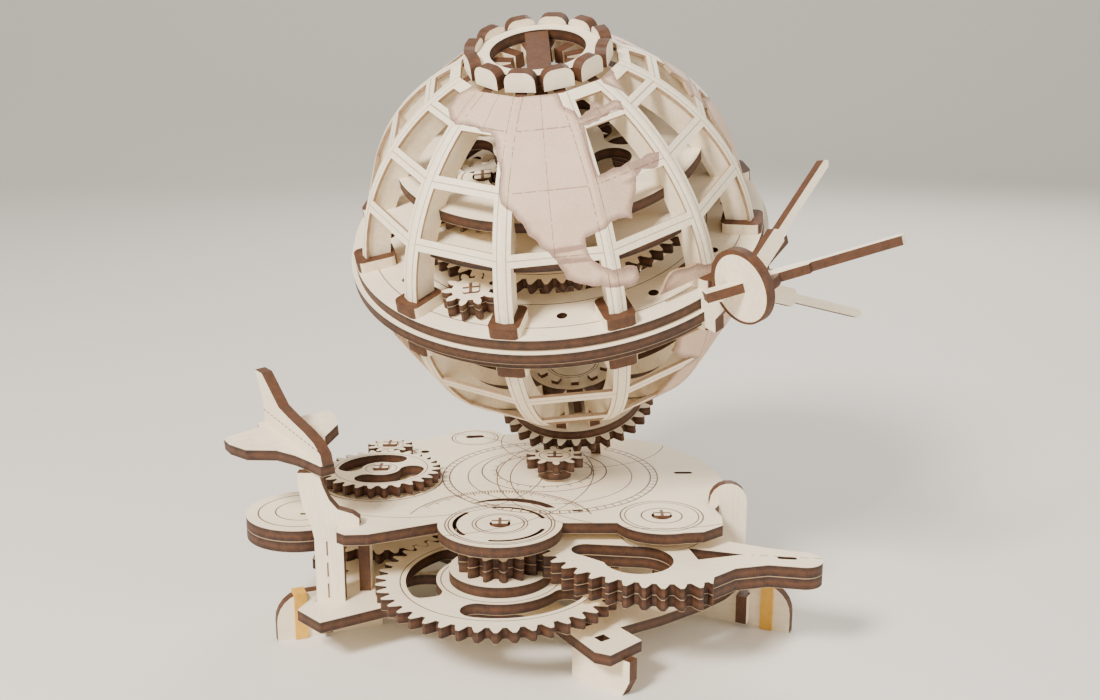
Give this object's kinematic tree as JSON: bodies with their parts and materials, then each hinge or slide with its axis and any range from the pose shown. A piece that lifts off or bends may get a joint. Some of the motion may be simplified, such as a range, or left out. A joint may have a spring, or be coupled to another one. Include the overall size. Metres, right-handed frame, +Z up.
{
  "type": "orrery",
  "caption": "Hand-driven geared globe of cut plywood on a tilted axis, with an orbiting satellite and a small shuttle on the geared deck.",
  "frame": {"origin": "on the table, under the middle of the whole object's box", "axes": "+X to the right as seen from the lever's side, +Y to the back, +Z up"},
  "size_m": [0.2048, 0.15, 0.1936],
  "materials": {
    "plywood": "bare birch plywood with laser-browned edges",
    "gore_sheet": "thin bare plywood sheet with printed land",
    "rubber_band": "amber natural rubber"
  },
  "bodies": {
    "base": {"lower_plate": "plywood", "side_feet": "plywood", "foot_front": "plywood", "foot_clips": "plywood", "rubber_bands": "rubber_band", "left_leg": "plywood", "right_leg": "plywood", "brace_posts": "plywood", "deck_plate": "plywood", "side_pad": "plywood", "tilt_brackets": "plywood", "tilt_bearing_plate": "plywood", "axis_post": "plywood", "great_gear": "plywood", "upper_sun_pinion": "plywood", "shuttle_fuselage": "plywood", "shuttle_wing": "plywood"},
    "lever": {"lever_lower": "plywood", "lever_upper": "plywood", "lever_axle": "plywood"},
    "main_shaft": {"main_axle": "plywood", "main_gear": "plywood", "main_spacer": "plywood", "main_pinion": "plywood"},
    "centre_shaft": {"centre_axle": "plywood", "centre_lower_pinion": "plywood", "deck_pinion": "plywood"},
    "left_shaft": {"left_axle": "plywood", "left_lower_gear": "plywood", "left_gear": "plywood"},
    "small_shaft": {"small_axle": "plywood", "small_pinion": "plywood"},
    "globe": {"globe_gear": "plywood", "south_hub": "plywood", "crown_wheel": "plywood", "crown_pegs": "plywood", "south_ribs": "plywood", "south_gores": "gore_sheet", "equator_lower_plate": "plywood", "equator_spacers": "plywood", "equator_upper_plate": "plywood", "north_ribs": "plywood", "north_gores": "gore_sheet", "bridge_lower": "plywood", "bridge_upper": "plywood", "pole_plates": "plywood", "top_ring": "plywood", "top_petals": "plywood"},
    "planet_1": {"planet_axle_1": "plywood", "planet_ring_pinion_1": "plywood", "planet_sun_pinion_1": "plywood"},
    "planet_2": {"planet_axle_2": "plywood", "planet_ring_pinion_2": "plywood", "planet_sun_pinion_2": "plywood"},
    "upper_shaft": {"upper_gear": "plywood", "upper_axle": "plywood"},
    "orbit": {"orbit_ring": "plywood", "satellite_bracket": "plywood", "satellite_ball": "plywood", "satellite_antennas": "plywood"}
  },
  "joints": [
    {"name": "globe_spin", "type": "hinge", "parent": "base", "child": "globe", "pos_m": [0.00456, 0.01056, 0.1245], "axis": [-0.1001, -0.3843, 0.9178], "range_deg": [0, 404.8]},
    {"name": "lever_swing", "type": "hinge", "parent": "base", "child": "lever", "pos_m": [0.03699, -0.02942, 0.0262], "axis": [0, 0, 1], "range_deg": [-84.01, 0]},
    {"name": "main_spin", "type": "hinge", "parent": "base", "child": "main_shaft", "pos_m": [-0.01356, -0.03616, 0.0186], "axis": [0, 0, 1], "range_deg": [0, 276.01]},
    {"name": "centre_spin", "type": "hinge", "parent": "base", "child": "centre_shaft", "pos_m": [0.00348, 0.00646, 0.0186], "axis": [0, 0, 1], "range_deg": [-1214.41, 0]},
    {"name": "left_spin", "type": "hinge", "parent": "base", "child": "left_shaft", "pos_m": [-0.05521, 0.00392, 0.0186], "axis": [0, 0, 1], "range_deg": [-506.01, 0]},
    {"name": "small_spin", "type": "hinge", "parent": "base", "child": "small_shaft", "pos_m": [-0.05521, 0.02982, 0.0406], "axis": [0, 0, 1], "range_deg": [0, 1366.21]},
    {"name": "planet_1_spin", "type": "hinge", "parent": "globe", "child": "planet_1", "pos_m": [-0.02053, -0.03094, 0.10439], "axis": [-0.1001, -0.3843, 0.9178], "range_deg": [0, 2428.81]},
    {"name": "planet_2_spin", "type": "hinge", "parent": "globe", "child": "planet_2", "pos_m": [0.02964, 0.05207, 0.14462], "axis": [-0.1001, -0.3843, 0.9178], "range_deg": [0, 2428.81]},
    {"name": "upper_spin", "type": "hinge", "parent": "globe", "child": "upper_shaft", "pos_m": [-0.01528, -0.00546, 0.11563], "axis": [-0.1001, -0.3843, 0.9178], "range_deg": [0, 202.41]},
    {"name": "orbit_spin", "type": "hinge", "parent": "globe", "child": "orbit", "pos_m": [0.00456, 0.01056, 0.1245], "axis": [-0.1001, -0.3843, 0.9178], "range_deg": [0, 303.61]}
  ],
  "couplings": [
    {"joint": "lever_swing", "follows": "globe_spin", "ratio": -0.20751},
    {"joint": "main_spin", "follows": "globe_spin", "ratio": 0.68182},
    {"joint": "centre_spin", "follows": "globe_spin", "ratio": -3},
    {"joint": "left_spin", "follows": "globe_spin", "ratio": -1.25},
    {"joint": "small_spin", "follows": "globe_spin", "ratio": 3.375},
    {"joint": "planet_1_spin", "follows": "globe_spin", "ratio": 6},
    {"joint": "planet_2_spin", "follows": "globe_spin", "ratio": 6},
    {"joint": "upper_spin", "follows": "globe_spin", "ratio": 0.5},
    {"joint": "orbit_spin", "follows": "globe_spin", "ratio": 0.75}
  ]
}
